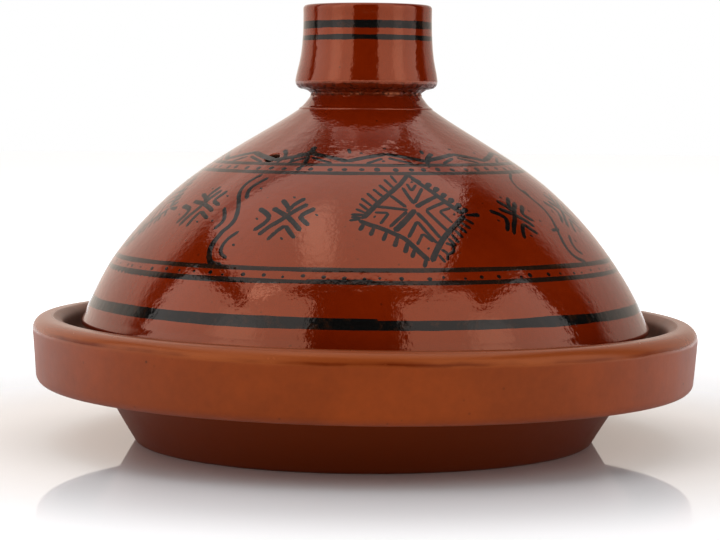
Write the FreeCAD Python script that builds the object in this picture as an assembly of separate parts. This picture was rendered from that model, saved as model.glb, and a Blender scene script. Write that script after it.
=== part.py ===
import FreeCAD, Part
import math
import os

# Glazed earthenware tagine: a broad dish, a domed lid that lifts off, and the hollow grip on top.
# Everything is thrown on a wheel, so each piece is an outline (radius, height) turned about +Z.
# Millimetres; the origin is the centre of the foot, which stands on z = 0.

# Dish
RIM_CORNER_RADIUS = 150.4    # before rounding; the rounded rim is 300 across
DISH_HEIGHT = 55.4           # top of the rim
FOOT_RADIUS = 103.5
BOWL_FLARE_RADIUS = 120.5    # where the bowl wall meets the underside of the rim band
BAND_BOTTOM = 25.4           # lower edge of the upright rim band
BAND_RADIUS = 148.2          # band, at its lower edge
UNDERCUT = 2.6               # the band's underside rises this much towards the bowl
RIM_THICKNESS = 13.0
LEDGE_OUTER = (134.0, 45.0)  # the lid's seat slopes gently down into the bowl
LEDGE_INNER = (111.0, 41.6)
FLOOR_RADIUS = 97.0
FLOOR_THICKNESS = 9.0
FOOT_ROUND = 2.5             # how far each of the dish's corners is rounded
NECKING_ROUND = 3.0
BAND_ROUND = 4.5
RIM_OUTER_ROUND = 5.9
RIM_INNER_ROUND = 5.4
LEDGE_OUTER_ROUND = 4.0
LEDGE_INNER_ROUND = 5.0
FLOOR_ROUND = 10.0

# Lid
SEAT_CLEARANCE = 0.3         # between the lid's edge and the ledge
EDGE_RADIUS = 3.9            # half-round lower edge of the lid
EDGE_CENTRE_RADIUS = 118.6
LID_WALL = 7.6
SHOULDER_IN = 0.9            # the lid turns in a little under its widest point
SHOULDER_DOWN = 3.6
DOME_OUTLINE = [             # outside of the dome, from its widest point up to the neck
    (127.0, 56.0),
    (121.6, 67.8),
    (111.6, 84.0),
    (98.4, 100.0),
    (81.4, 116.0),
    (60.8, 130.4),
    (40.4, 142.8),
    (28.6, 150.5),
]
NECK_RADIUS = 24.6
NECK_TOP = 154.4
NECK_HOLLOW = (25.5, 152.3)  # the small hollow curve where the dome meets the neck
DOME_APEX_INSIDE = 148.4     # underside of the closed top of the dome
CROWN_RADIUS = 20.0          # where that underside starts to level off
CROWN_DROP = 2.8
VENT_HEIGHT = 128.5          # steam hole, drilled square to the slope
VENT_DIRECTION = -38.0       # degrees round from the front (-Y), negative towards -X
VENT_DIAMETER = 6.4

# Coil of clay that lutes the grip to the dome
COIL_OUTER = 25.2
COIL_INNER = 18.0
COIL_TOP = 157.9
COIL_ROUND = 1.2

# Hollow grip
GRIP_FOOT_RADIUS = 25.0
GRIP_UNDERSIDE_EDGE = (29.6, 158.9)
GRIP_FLANGE_TURN = (31.6, 160.5)
GRIP_FLANGE = (32.0, 162.8)  # the grip's widest point
GRIP_SIDE = [                # outside of the grip, from the flange up to the rim
    (31.4, 166.2),
    (30.5, 170.3),
    (29.3, 180.0),
    (29.0, 187.0),
]
GRIP_RIM_RADIUS = 29.0
GRIP_TOP = 196.2
GRIP_RIM_ROUND = 1.6
GRIP_RIM_ROUND_INSIDE = 2.0
GRIP_WALL = 5.6
GRIP_INSIDE_FOOT_RADIUS = 24.4
GRIP_FLOOR = 166.0
GRIP_FLOOR_ROUND = 7.0


def point(radius, height):
    return FreeCAD.Vector(radius, 0, height)


def corner(before, at, after, fillet):
    """Where a round of the given radius starts, bends and ends at one corner of an outline."""
    back = before.sub(at).normalize()
    ahead = after.sub(at).normalize()
    half_angle = back.getAngle(ahead) / 2
    reach = fillet / math.tan(half_angle)
    middle_direction = back.add(ahead).normalize()
    centre = at.add(middle_direction * (fillet / math.sin(half_angle)))
    middle = centre.sub(middle_direction * fillet)
    return at.add(back * reach), middle, at.add(ahead * reach)


def rounded_outline(vertices):
    """Edges of a closed outline of straight runs; each vertex is (radius, height, fillet)."""
    spots = [point(r, z) for r, z, _ in vertices]
    count = len(spots)
    bends = []
    for i, (_, _, fillet) in enumerate(vertices):
        if fillet:
            bends.append(corner(spots[i - 1], spots[i], spots[(i + 1) % count], fillet))
        else:
            bends.append((spots[i], None, spots[i]))
    edges = []
    for i in range(count):
        start, middle, end = bends[i]
        if middle:
            edges.append(arc(start, middle, end))
        following = bends[(i + 1) % count][0]
        edges.append(line(end, following))
    return edges


def turned(edges):
    """The solid that an outline sweeps out round the wheel's axis."""
    face = Part.Face(Part.Wire(Part.__sortEdges__(edges)))
    return face.revolve(FreeCAD.Vector(0, 0, 0), FreeCAD.Vector(0, 0, 1), 360)


def line(start, end):
    return Part.LineSegment(start, end).toShape()


def arc(start, through, end):
    return Part.Arc(start, through, end).toShape()


def spline(points):
    curve = Part.BSplineCurve()
    curve.interpolate(points)
    return curve


def base_dish():
    inner_rim = RIM_CORNER_RADIUS - RIM_THICKNESS
    return turned(rounded_outline([
        (0, 0, 0),
        (FOOT_RADIUS, 0, FOOT_ROUND),
        (BOWL_FLARE_RADIUS, BAND_BOTTOM + UNDERCUT, NECKING_ROUND),
        (BAND_RADIUS, BAND_BOTTOM, BAND_ROUND),
        (RIM_CORNER_RADIUS, DISH_HEIGHT, RIM_OUTER_ROUND),
        (inner_rim, DISH_HEIGHT, RIM_INNER_ROUND),
        (*LEDGE_OUTER, LEDGE_OUTER_ROUND),
        (*LEDGE_INNER, LEDGE_INNER_ROUND),
        (FLOOR_RADIUS, FLOOR_THICKNESS, FLOOR_ROUND),
        (0, FLOOR_THICKNESS, 0),
    ]))


def dome_inside(outer_curve):
    """Points one wall thickness inside the dome, square to its outer curve."""
    points = []
    for r, z in DOME_OUTLINE:
        at = point(r, z)
        along = outer_curve.tangent(outer_curve.parameter(at))[0]
        inward = FreeCAD.Vector(-along.z, 0, along.x)
        if inward.x > 0:
            inward = inward.negative()
        points.append(at.add(inward * LID_WALL))
    return points


LEDGE_SLOPE = (LEDGE_OUTER[1] - LEDGE_INNER[1]) / (LEDGE_OUTER[0] - LEDGE_INNER[0])
SLOPE_FACTOR = math.sqrt(1 + LEDGE_SLOPE ** 2)


def ledge_height(radius):
    return LEDGE_INNER[1] + LEDGE_SLOPE * (radius - LEDGE_INNER[0])


def lid_cone():
    outer = spline([point(r, z) for r, z in DOME_OUTLINE])
    inner_points = dome_inside(outer)
    # leave out the points past the crown, where the inside levels off under the closed top
    crown = point(CROWN_RADIUS, DOME_APEX_INSIDE - CROWN_DROP)
    inner_points = [p for p in inner_points if p.x > 1.5 * CROWN_RADIUS]
    apex = point(0, DOME_APEX_INSIDE)
    inner = Part.BSplineCurve()
    inner.interpolate(Points=inner_points + [crown, apex],
                      InitialTangent=outer.tangent(outer.FirstParameter)[0],
                      FinalTangent=FreeCAD.Vector(-1, 0, 0))
    # the half-round edge is lifted square to the ledge's slope, so it clears it all the way down
    edge_centre = ledge_height(EDGE_CENTRE_RADIUS) + SLOPE_FACTOR * (SEAT_CLEARANCE + EDGE_RADIUS)
    edge_out = point(EDGE_CENTRE_RADIUS + EDGE_RADIUS, edge_centre)
    edge_low = point(EDGE_CENTRE_RADIUS, edge_centre - EDGE_RADIUS)
    edge_in = point(EDGE_CENTRE_RADIUS - EDGE_RADIUS, edge_centre)
    widest = point(*DOME_OUTLINE[0])
    shoulder = point(widest.x - SHOULDER_IN, widest.z - SHOULDER_DOWN)
    neck_top = point(NECK_RADIUS, NECK_TOP)
    neck_middle = point(0, NECK_TOP)
    edges = [
        outer.toShape(),
        arc(point(*DOME_OUTLINE[-1]), point(*NECK_HOLLOW), neck_top),
        line(neck_top, neck_middle),
        line(neck_middle, apex),
        inner.toShape(),
        line(inner_points[0], edge_in),
        arc(edge_in, edge_low, edge_out),
        arc(edge_out, shoulder, widest),
    ]
    return turned(edges).cut(vent_drill(outer))


def vent_drill(outer):
    """A cylinder square to the dome's slope where the steam hole goes through."""
    turn = math.radians(VENT_DIRECTION)
    slope = min(DOME_OUTLINE, key=lambda spot: abs(spot[1] - VENT_HEIGHT))
    upper = point(*slope)
    along = outer.tangent(outer.parameter(upper))[0]
    outward = FreeCAD.Vector(abs(along.z), 0, abs(along.x))
    radius = slope[0] + (slope[1] - VENT_HEIGHT) * abs(along.x / along.z)
    mouth = point(radius, VENT_HEIGHT)
    reach = 3 * LID_WALL
    drill = Part.makeCylinder(VENT_DIAMETER / 2, 2 * reach, mouth.sub(outward * reach), outward)
    drill.rotate(FreeCAD.Vector(0, 0, 0), FreeCAD.Vector(0, 0, 1), -90 + math.degrees(turn))
    return drill


def luting_coil():
    return turned(rounded_outline([
        (COIL_INNER, NECK_TOP, 0),
        (COIL_OUTER, NECK_TOP, COIL_ROUND),
        (COIL_OUTER, COIL_TOP, COIL_ROUND),
        (COIL_INNER, COIL_TOP, 0),
    ]))


def lid_knob():
    """A cup standing on a short stem that fits inside the luting coil."""
    rim = point(GRIP_RIM_RADIUS, GRIP_TOP - GRIP_RIM_ROUND)
    rim_top = point(GRIP_RIM_RADIUS - GRIP_RIM_ROUND, GRIP_TOP)
    inside_rim = GRIP_RIM_RADIUS - GRIP_WALL
    lip_top = point(inside_rim + GRIP_RIM_ROUND_INSIDE, GRIP_TOP)
    lip = point(inside_rim, GRIP_TOP - GRIP_RIM_ROUND_INSIDE)
    cup_foot = point(GRIP_INSIDE_FOOT_RADIUS, GRIP_FLOOR + GRIP_FLOOR_ROUND)
    cup_floor = point(GRIP_INSIDE_FOOT_RADIUS - GRIP_FLOOR_ROUND, GRIP_FLOOR)
    cup_middle = point(0, GRIP_FLOOR)
    stem = [point(0, NECK_TOP), point(COIL_INNER, NECK_TOP), point(COIL_INNER, COIL_TOP)]
    flange = point(*GRIP_FLANGE)
    side = spline([flange] + [point(r, z) for r, z in GRIP_SIDE] + [rim])
    edges = [
        line(stem[0], stem[1]),
        line(stem[1], stem[2]),
        line(stem[2], point(GRIP_FOOT_RADIUS, COIL_TOP)),
        line(point(GRIP_FOOT_RADIUS, COIL_TOP), point(*GRIP_UNDERSIDE_EDGE)),
        arc(point(*GRIP_UNDERSIDE_EDGE), point(*GRIP_FLANGE_TURN), flange),
        side.toShape(),
        quarter_round(rim, rim_top),
        line(rim_top, lip_top),
        quarter_round(lip, lip_top),
        line(lip, cup_foot),
        quarter_round(cup_foot, cup_floor),
        line(cup_floor, cup_middle),
        line(cup_middle, stem[0]),
    ]
    return turned(edges)


def quarter_round(upright_end, level_end):
    """A quarter circle from where it runs upright to where it runs level."""
    centre = point(level_end.x, upright_end.z)
    half_way = (upright_end - centre) + (level_end - centre)
    return arc(upright_end, centre + half_way / math.sqrt(2), level_end)


def write(name, shape):
    if not shape.isValid() or len(shape.Solids) != 1:
        raise RuntimeError(f"{name} is not one valid solid")
    shape.Solids[0].exportStep(f"parts/{name}.step")
    box = shape.BoundBox
    print(f"{name}: {shape.Volume / 1000:.0f} cm3, "
          f"{box.XLength:.1f} x {box.YLength:.1f} x {box.ZLength:.1f} mm")


os.makedirs("parts", exist_ok=True)
write("base_dish", base_dish())
write("lid_cone", lid_cone())
write("luting_coil", luting_coil())
write("lid_knob", lid_knob())
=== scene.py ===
import bisect
import math
import random

import bmesh
import bpy
from mathutils import Matrix, Vector, noise
from mathutils.geometry import interpolate_bezier


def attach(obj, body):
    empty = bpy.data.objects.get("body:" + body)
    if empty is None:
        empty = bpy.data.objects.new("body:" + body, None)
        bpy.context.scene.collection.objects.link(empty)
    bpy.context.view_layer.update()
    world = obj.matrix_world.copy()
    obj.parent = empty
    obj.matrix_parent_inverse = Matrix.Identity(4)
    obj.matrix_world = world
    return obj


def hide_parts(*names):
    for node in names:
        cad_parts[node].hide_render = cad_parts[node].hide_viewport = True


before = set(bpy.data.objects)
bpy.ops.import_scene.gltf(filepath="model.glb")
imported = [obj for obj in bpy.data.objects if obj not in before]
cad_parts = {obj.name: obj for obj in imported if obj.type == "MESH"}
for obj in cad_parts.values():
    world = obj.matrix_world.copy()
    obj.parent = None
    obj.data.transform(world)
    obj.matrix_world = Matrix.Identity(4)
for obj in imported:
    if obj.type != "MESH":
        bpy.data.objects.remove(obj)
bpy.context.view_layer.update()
print("frame loaded")

# Around is in degrees from the front, positive to the right. Lengths are metres unless a name says mm.


def smoothStep(low, high, value):
    t = min(max((value - low) / (high - low), 0.0), 1.0)
    return t * t * (3 - 2 * t)


def direction(around):
    turn = math.radians(around)
    return Vector((math.sin(turn), -math.cos(turn), 0))


thrown = {
    "rimLean": 0.0125,       # the dish's rim and the lid's edge were thrown a little higher on the left
    "lidLean": 0.0050,       # what is left of that lean at the lid's black band
    "oval": 0.00035,         # out of round
    "ringEvery": 0.0046,     # finger rings left by throwing
    "ringDepth": 0.000022,
    "dentDepth": 0.00010,    # soft unevenness, some 3 cm across
}


def leanAt(height):
    rise = smoothStep(0.004, 0.040, height)
    toLid = smoothStep(0.052, 0.064, height)
    fade = 1 - smoothStep(0.070, 0.125, height)
    return rise * fade * (thrown["rimLean"] * (1 - toLid) + thrown["lidLean"] * toLid)


def swayAt(height):
    # the dish and the lid don't stand quite on one axis
    lower = 0.0005 * smoothStep(0.0, 0.05, height) * (1 - smoothStep(0.055, 0.062, height))
    middle = -0.0007 * smoothStep(0.062, 0.085, height) * (1 - smoothStep(0.125, 0.155, height))
    return lower + middle + 0.0005 * smoothStep(0.150, 0.185, height)


def shapeByHand(p):
    # every thrown piece and every painted line goes through this, so they stay together
    radius = math.hypot(p.x, p.y)
    if radius < 1e-6:
        return p.copy()
    turn = math.atan2(p.x, -p.y)
    wobble = thrown["oval"] * math.cos(2 * turn + 0.7 + 9 * p.z) * radius / 0.15
    along = p.z - 0.75 * radius
    ring = math.sin(math.tau * along / thrown["ringEvery"] + turn)
    ringHere = 0.5 + 0.5 * noise.noise(Vector((p.x * 9, p.y * 9, along * 40)))
    wobble += thrown["ringDepth"] * ring * ringHere * smoothStep(0.01, 0.03, radius)
    wobble += thrown["dentDepth"] * noise.noise(Vector((p.x * 30, p.y * 30, p.z * 45 + 3.1)))
    scale = 1 + wobble / max(radius, 0.012)
    return Vector((p.x * scale + swayAt(p.z), p.y * scale, p.z - p.x * leanAt(p.z)))


def smoothLine(points, spacing):
    # even points on a smooth curve through the given ones; spacing is a length, or a function of the point
    fine = []
    for i, (a, b) in enumerate(zip(points, points[1:])):
        before = points[i - 1] if i else a
        after = points[i + 2] if i + 2 < len(points) else b
        reach = (b - a).length / 3
        leaving = (b - before).normalized() * reach
        arriving = (after - a).normalized() * reach
        fine += interpolate_bezier(a, a + leaving, b - arriving, b, 25)[:-1]
    fine.append(points[-1])
    even = [fine[0]]
    gone = 0.0
    for start, end in zip(fine, fine[1:]):
        gone += (end - start).length
        if gone >= (spacing(end) if callable(spacing) else spacing):
            even.append(end)
            gone = 0.0
    even[-1] = fine[-1]
    return even


def cadOutline(nodeName):
    # the outline that a turned CAD solid was made from, as (radius, 0, height), from its foot to its inside
    work = bmesh.new()
    work.from_mesh(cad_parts[nodeName].data)
    bmesh.ops.remove_doubles(work, verts=work.verts[:], dist=1e-6)
    everything = work.verts[:] + work.edges[:] + work.faces[:]
    bmesh.ops.bisect_plane(work, geom=everything, dist=1e-6, plane_co=(0, 0, 0), plane_no=(0, 1, 0))
    half = {v for v in work.verts if abs(v.co.y) < 2e-6 and v.co.x > -1e-6}
    beside = {v: [e.other_vert(v) for e in v.link_edges if e.other_vert(v) in half] for v in half}
    ends = [v for v in half if len(beside[v]) == 1] or list(half)
    walk = [min(ends, key=lambda v: (round(v.co.z, 5), v.co.x))]
    while True:
        onward = [v for v in beside[walk[-1]] if v not in walk[-3:] and v not in walk[:1]]
        if not onward or len(walk) > len(half):
            break
        walk.append(onward[0])
    line = [Vector((v.co.x, 0, v.co.z)) for v in walk]
    work.free()
    return [line[0]] + [b for a, b in zip(line, line[1:]) if (b - a).length > 1.5e-4]


def turnOnWheel(outline, steps):
    # spins an outline round the wheel's axis into a closed shell
    work = bmesh.new()
    verts = [work.verts.new(p) for p in outline]
    edges = [work.edges.new(pair) for pair in zip(verts, verts[1:])]
    bmesh.ops.spin(
        work, geom=verts + edges, cent=(0, 0, 0), axis=(0, 0, 1), dvec=(0, 0, 0),
        angle=math.tau, steps=steps, use_merge=True, use_duplicate=False)
    bmesh.ops.remove_doubles(work, verts=work.verts[:], dist=1e-7)
    bmesh.ops.recalc_face_normals(work, faces=work.faces[:])
    return work


def addObject(name, data):
    made = bpy.data.objects.new(name, data)
    bpy.context.scene.collection.objects.link(made)
    return made


def meshFrom(name, work, material):
    mesh = bpy.data.meshes.new(name)
    work.to_mesh(mesh)
    work.free()
    mesh.materials.append(material)
    return mesh


def finishPiece(name, work, material, body, replaced=()):
    mesh = meshFrom(name, work, material)
    mesh.polygons.foreach_set("use_smooth", [True] * len(mesh.polygons))
    piece = addObject(name, mesh)
    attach(piece, body)
    if replaced:
        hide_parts(*replaced)
    print(name, len(mesh.polygons), "faces")
    return piece


# shader helpers, and the groups that the materials share


def newGroup(name, inputs, outputs):
    group = bpy.data.node_groups.new(name, "ShaderNodeTree")
    for way, sockets in (("INPUT", inputs), ("OUTPUT", outputs)):
        for label, kind in sockets:
            group.interface.new_socket(label, in_out=way, socket_type="NodeSocket" + kind)
    return group, group.nodes.new("NodeGroupInput"), group.nodes.new("NodeGroupOutput")


def node(tree, kind, settings=(), **inputs):
    made = tree.nodes.new("ShaderNode" + kind)
    for key, value in dict(settings).items():
        setattr(made, key, value)
    for key, value in inputs.items():
        place(tree, made, key.replace("_", " "), value)
    return made


def place(tree, made, key, value):
    # a number or colour is set on the socket, another node's output is linked to it
    socket = made.inputs[int(key)] if key.isdigit() else made.inputs[key]
    if isinstance(value, bpy.types.NodeSocket):
        tree.links.new(value, socket)
    else:
        socket.default_value = value


def maths(tree, operation, first, second=None, clamp=False):
    made = tree.nodes.new("ShaderNodeMath")
    made.operation = operation
    made.use_clamp = clamp
    place(tree, made, "0", first)
    if second is not None:
        place(tree, made, "1", second)
    return made.outputs[0]


def times(tree, first, second):
    return maths(tree, "MULTIPLY", first, second)


def stretch(tree, value, low, high, outLow=0.0, outHigh=1.0, soft=False):
    made = tree.nodes.new("ShaderNodeMapRange")
    made.interpolation_type = "SMOOTHSTEP" if soft else "LINEAR"
    for key, number in zip(("Value", "From Min", "From Max", "To Min", "To Max"),
                           (value, low, high, outLow, outHigh)):
        place(tree, made, key, number)
    return made.outputs["Result"]


def blendColours(tree, factor, first, second, how="MIX"):
    made = tree.nodes.new("ShaderNodeMix")
    made.data_type = "RGBA"
    made.blend_type = how
    place(tree, made, "Factor", factor)
    for index, colour in ((6, first), (7, second)):
        place(tree, made, str(index), colour)
    return made.outputs[2]


def noiseOf(tree, vector, scale, detail=2.0, roughness=0.5):
    made = node(tree, "TexNoise", Vector=vector, Scale=scale, Detail=detail, Roughness=roughness)
    return made.outputs["Fac"]


def clayColours():
    # the fired clay: broad patches, fine mottling and small dark specks
    group, taken, given = newGroup(
        "clayColours",
        [("Vector", "Vector"), ("Deep", "Color"), ("Warm", "Color"), ("Speck", "Color"),
         ("Speck amount", "Float")],
        [("Colour", "Color")])
    where = taken.outputs["Vector"]
    patches = stretch(group, noiseOf(group, where, 22.0, 3.0), 0.35, 0.68, soft=True)
    mottling = stretch(group, noiseOf(group, where, 240.0, 4.0, 0.62), 0.3, 0.75)
    amount = maths(group, "ADD", times(group, patches, 0.6), times(group, mottling, 0.4))
    base = blendColours(group, amount, taken.outputs["Deep"], taken.outputs["Warm"])
    specks = node(group, "TexVoronoi", Vector=where, Scale=210.0)
    dots = stretch(group, specks.outputs["Distance"], 0.16, 0.07)
    rare = stretch(group, noiseOf(group, where, 95.0, 1.0), 0.56, 0.66)
    speckHere = times(group, times(group, dots, rare), taken.outputs["Speck amount"])
    group.links.new(blendColours(group, speckHere, base, taken.outputs["Speck"]), given.inputs["Colour"])
    return group


def glazeSkin():
    # height of the surface in metres: wheel marks, the pebbled skin of the glaze and pinholes
    group, taken, given = newGroup(
        "glazeSkin",
        [("Vector", "Vector"), ("Wheel marks", "Float"), ("Pebbling", "Float"),
         ("Pinholes", "Float"), ("Neck dents", "Float")],
        [("Height", "Float")])
    where = node(group, "SeparateXYZ", Vector=taken.outputs["Vector"])
    x, y, z = where.outputs
    squares = maths(group, "ADD", times(group, x, x), times(group, y, y))
    radius = maths(group, "SQRT", squares)
    along = maths(group, "SUBTRACT", z, times(group, radius, 0.75))
    bands = node(group, "CombineXYZ", X=times(group, x, 16.0), Y=times(group, y, 16.0),
                 Z=times(group, along, 300.0))
    marks = noiseOf(group, bands.outputs[0], 1.0, 2.0, 0.55)
    pebbles = noiseOf(group, taken.outputs["Vector"], 330.0, 2.0, 0.45)
    grain = times(group, noiseOf(group, taken.outputs["Vector"], 900.0, 2.0, 0.5), 0.35)
    cells = node(group, "TexVoronoi", Vector=taken.outputs["Vector"], Scale=150.0)
    holes = stretch(group, cells.outputs["Distance"], 0.10, 0.02)
    dents = times(group, noiseOf(group, taken.outputs["Vector"], 125.0, 3.0, 0.55),
                  stretch(group, z, 0.112, 0.134, 0.0, 1.0, soft=True))
    dents = times(group, dents, stretch(group, z, 0.150, 0.158, 1.0, 0.0, soft=True))
    total = times(group, marks, taken.outputs["Wheel marks"])
    pebbled = times(group, maths(group, "ADD", pebbles, grain), taken.outputs["Pebbling"])
    total = maths(group, "ADD", total, pebbled)
    total = maths(group, "ADD", total, times(group, dents, taken.outputs["Neck dents"]))
    total = maths(group, "SUBTRACT", total, times(group, holes, taken.outputs["Pinholes"]))
    group.links.new(total, given.inputs["Height"])
    return group


clayGroup = clayColours()
skinGroup = glazeSkin()


def newMaterial(name):
    material = bpy.data.materials.new(name)
    material.use_nodes = True
    tree = material.node_tree
    shader = tree.nodes["Principled BSDF"]
    where = tree.nodes.new("ShaderNodeTexCoord").outputs["Object"]
    return material, tree, shader, where


def placeGroup(tree, group, where, **values):
    made = tree.nodes.new("ShaderNodeGroup")
    made.node_tree = group
    tree.links.new(where, made.inputs["Vector"])
    for key, value in values.items():
        place(tree, made, key.replace("_", " "), value)
    return made


def attributeOf(tree, name):
    return node(tree, "Attribute", settings={"attribute_name": name}).outputs["Fac"]


def finishSurface(tree, shader, look, colour, rough, height):
    bump = node(tree, "Bump", Strength=1.0, Distance=1.0, Height=height)
    for socket, value in (("Base Color", colour), ("Roughness", rough), ("Normal", bump.outputs["Normal"]),
                          ("Specular IOR Level", look["shine"]), ("Specular Tint", look["shineTint"])):
        place(tree, shader, socket, value)


def unevenGloss(tree, where):
    return stretch(tree, noiseOf(tree, where, 60.0, 3.0), 0.3, 0.7, *glazeLook["roughness"])


glazeLook = {
    "deep": (0.105, 0.0068, 0.0003, 1),
    "warm": (0.142, 0.0108, 0.0006, 1),
    "speck": (0.020, 0.003, 0.001, 1),
    "shine": 1.0,                     # the iron-rich glaze reflects warmly face on, white at its edges
    "shineTint": (1.0, 0.41, 0.245, 1),
    "roughness": (0.055, 0.10),
    "wheelMarks": 0.000030,
    "pebbling": 0.000085,
    "neckDents": 0.00022,             # the lid is less even where it was closed in to the neck
    "pit": (0.020, 0.004, 0.002, 1),
    # painted shade: the bare inside of the steam hole coloured near black
    "bore": (0.010, 0.003, 0.0015, 1),
    "tooledRoughness": 0.34,
    "boreRoughness": 0.9,
    "scrapeDepth": 0.00016,
}


def glossGlaze():
    # red-brown glaze; the tooled mask marks the scraped underside of the grip and the bore mask the bare
    # steam hole, coloured near black as painted shade
    material, tree, shader, where = newMaterial("glossGlaze")
    tooled = attributeOf(tree, "tooled")
    bore = attributeOf(tree, "bore")
    clay = placeGroup(tree, clayGroup, where, Deep=glazeLook["deep"], Warm=glazeLook["warm"],
                      Speck=glazeLook["speck"], Speck_amount=0.7)
    skin = placeGroup(tree, skinGroup, where, Wheel_marks=glazeLook["wheelMarks"], Pinholes=0.00001,
                      Pebbling=glazeLook["pebbling"], Neck_dents=glazeLook["neckDents"])
    pits = stretch(tree, noiseOf(tree, where, 420.0, 4.0, 0.7), 0.40, 0.58)
    colour = blendColours(tree, times(tree, pits, tooled), clay.outputs["Colour"], glazeLook["pit"])
    # the near-black bore is painted shade inside the steam hole; its high roughness is the real bare clay
    colour = blendColours(tree, bore, colour, glazeLook["bore"])
    rough = maths(tree, "ADD", unevenGloss(tree, where), times(tree, tooled, glazeLook["tooledRoughness"]))
    rough = maths(tree, "MAXIMUM", rough, times(tree, bore, glazeLook["boreRoughness"]))
    scraped = times(tree, times(tree, pits, tooled), glazeLook["scrapeDepth"])
    height = maths(tree, "SUBTRACT", skin.outputs["Height"], scraped)
    shader.inputs["IOR"].default_value = 1.5
    finishSurface(tree, shader, glazeLook, colour, rough, height)
    return material


slipLook = {
    "shine": 0.27,
    "shineTint": (1.0, 0.88, 0.82, 1),
    "full": (0.0035, 0.0032, 0.0030, 1),
    "thin": (0.030, 0.010, 0.004, 1),
}


def blackSlip():
    # brushed black slip under the same glaze: thin and brown where the brush was running dry
    material, tree, shader, where = newMaterial("blackSlip")
    dry = stretch(tree, noiseOf(tree, where, 190.0, 4.0, 0.65), 0.52, 0.76)
    dry = maths(tree, "ADD", dry, attributeOf(tree, "thin"), clamp=True)
    colour = blendColours(tree, dry, slipLook["full"], slipLook["thin"])
    skin = placeGroup(tree, skinGroup, where, Wheel_marks=glazeLook["wheelMarks"],
                      Pebbling=glazeLook["pebbling"], Neck_dents=glazeLook["neckDents"])
    shader.inputs["IOR"].default_value = 1.5
    finishSurface(tree, shader, slipLook, colour, unevenGloss(tree, where), skin.outputs["Height"])
    return material


dishLook = {
    "bandDeep": (0.146, 0.0218, 0.0036, 1),
    "bandWarm": (0.222, 0.0355, 0.0054, 1),
    "lip": (0.205, 0.0400, 0.0080, 1),
    # painted reflection: the dark line along the rim's glazed lip
    "line": (0.095, 0.0090, 0.0006, 1),
    # painted shade: the underside of the bowl, below the rim, coloured darker
    "under": (0.118, 0.0138, 0.0010, 1),
    "inside": (0.085, 0.0200, 0.0070, 1),
    "stain": (0.016, 0.006, 0.003, 1),
    "shine": 0.45,
    "shineTint": (1.0, 0.40, 0.18, 1),
    "lipRoughness": 0.22,
    "bandRoughness": 0.42,
    "insideRoughness": 0.62,
}


def rimClay():
    # satin band, glaze run over the lip with a painted dark reflection line, painted shade under the bowl
    # and a stained, glazed inside
    material, tree, shader, where = newMaterial("rimClay")
    glazed = attributeOf(tree, "glazed")
    inner = attributeOf(tree, "inside")
    # under: the underside of the bowl, darkened as painted shade
    under = attributeOf(tree, "under")
    clay = placeGroup(tree, clayGroup, where, Deep=dishLook["bandDeep"], Warm=dishLook["bandWarm"],
                      Speck=glazeLook["speck"], Speck_amount=0.8)
    # the painted dark reflection line, broken up in patches by noise
    darkLinePatches = stretch(tree, noiseOf(tree, where, 24.0, 3.0, 0.6), 0.36, 0.58)
    line = times(tree, attributeOf(tree, "line"), darkLinePatches)
    stains = times(tree, inner, stretch(tree, noiseOf(tree, where, 40.0, 6.0, 0.75), 0.44, 0.72))
    colour = clay.outputs["Colour"]
    masks = (glazed, "lip"), (line, "line"), (under, "under"), (inner, "inside"), (stains, "stain")
    for mask, name in masks:
        colour = blendColours(tree, mask, colour, dishLook[name])
    rough = stretch(tree, glazed, 0.0, 1.0, dishLook["bandRoughness"], dishLook["lipRoughness"])
    rough = maths(tree, "MAXIMUM", rough, times(tree, inner, dishLook["insideRoughness"]))
    rough = maths(tree, "ADD", rough, times(tree, noiseOf(tree, where, 90.0, 4.0), 0.08))
    skin = placeGroup(tree, skinGroup, where, Wheel_marks=0.00005, Pebbling=0.00003, Pinholes=0.00002)
    finishSurface(tree, shader, dishLook, colour, rough, skin.outputs["Height"])
    return material


seamLook = {
    "pit": (0.016, 0.0030, 0.0012, 1),
    "glaze": (0.088, 0.0080, 0.0008, 1),
    # painted highlight: the pale band round the joint, and the heights it runs between
    "paintedHighlight": (0.30, 0.085, 0.038, 1),
    "paintedHighlightFrom": 0.1556,
    "paintedHighlightTo": 0.1576,
    "crumbs": 0.00022,
    "shine": 0.15,
    "shineTint": glazeLook["shineTint"],
}


def seamClay():
    # rough clay under a thin coat of glaze, dark in its pits, with a thin pale band of painted highlight
    # across it
    material, tree, shader, where = newMaterial("seamClay")
    height = node(tree, "SeparateXYZ", Vector=where).outputs["Z"]
    middle = 0.5 * (seamLook["paintedHighlightFrom"] + seamLook["paintedHighlightTo"])
    # a thin pale band of painted highlight between these heights, broken up by noise
    rising = stretch(tree, height, seamLook["paintedHighlightFrom"], middle, soft=True)
    falling = stretch(tree, height, middle, seamLook["paintedHighlightTo"], 1.0, 0.0, soft=True)
    broken = stretch(tree, noiseOf(tree, where, 160.0, 3.0, 0.6), 0.49, 0.60)
    paintedHighlight = times(tree, times(tree, rising, falling), broken)
    colour = blendColours(tree, paintedHighlight, seamLook["glaze"], seamLook["paintedHighlight"])
    pits = stretch(tree, noiseOf(tree, where, 480.0, 4.0, 0.65), 0.50, 0.64)
    colour = blendColours(tree, pits, colour, seamLook["pit"])
    rough = stretch(tree, pits, 0.0, 1.0, 0.30, 0.75)
    crumbs = times(tree, noiseOf(tree, where, 900.0, 4.0, 0.65), seamLook["crumbs"])
    finishSurface(tree, shader, seamLook, colour, rough, crumbs)
    return material


seamClayMaterial = seamClay()
glossGlazeMaterial = glossGlaze()
blackSlipMaterial = blackSlip()
rimClayMaterial = rimClay()
print("materials made")

dish = {
    "steps": 300,
    "fine": 0.0008,
    "coarse": 0.0030,
    "fineFrom": 0.68,         # of the rim's radius
    "glazeLine": 0.0496,
    "lineWidth": 0.0011,
}


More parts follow.
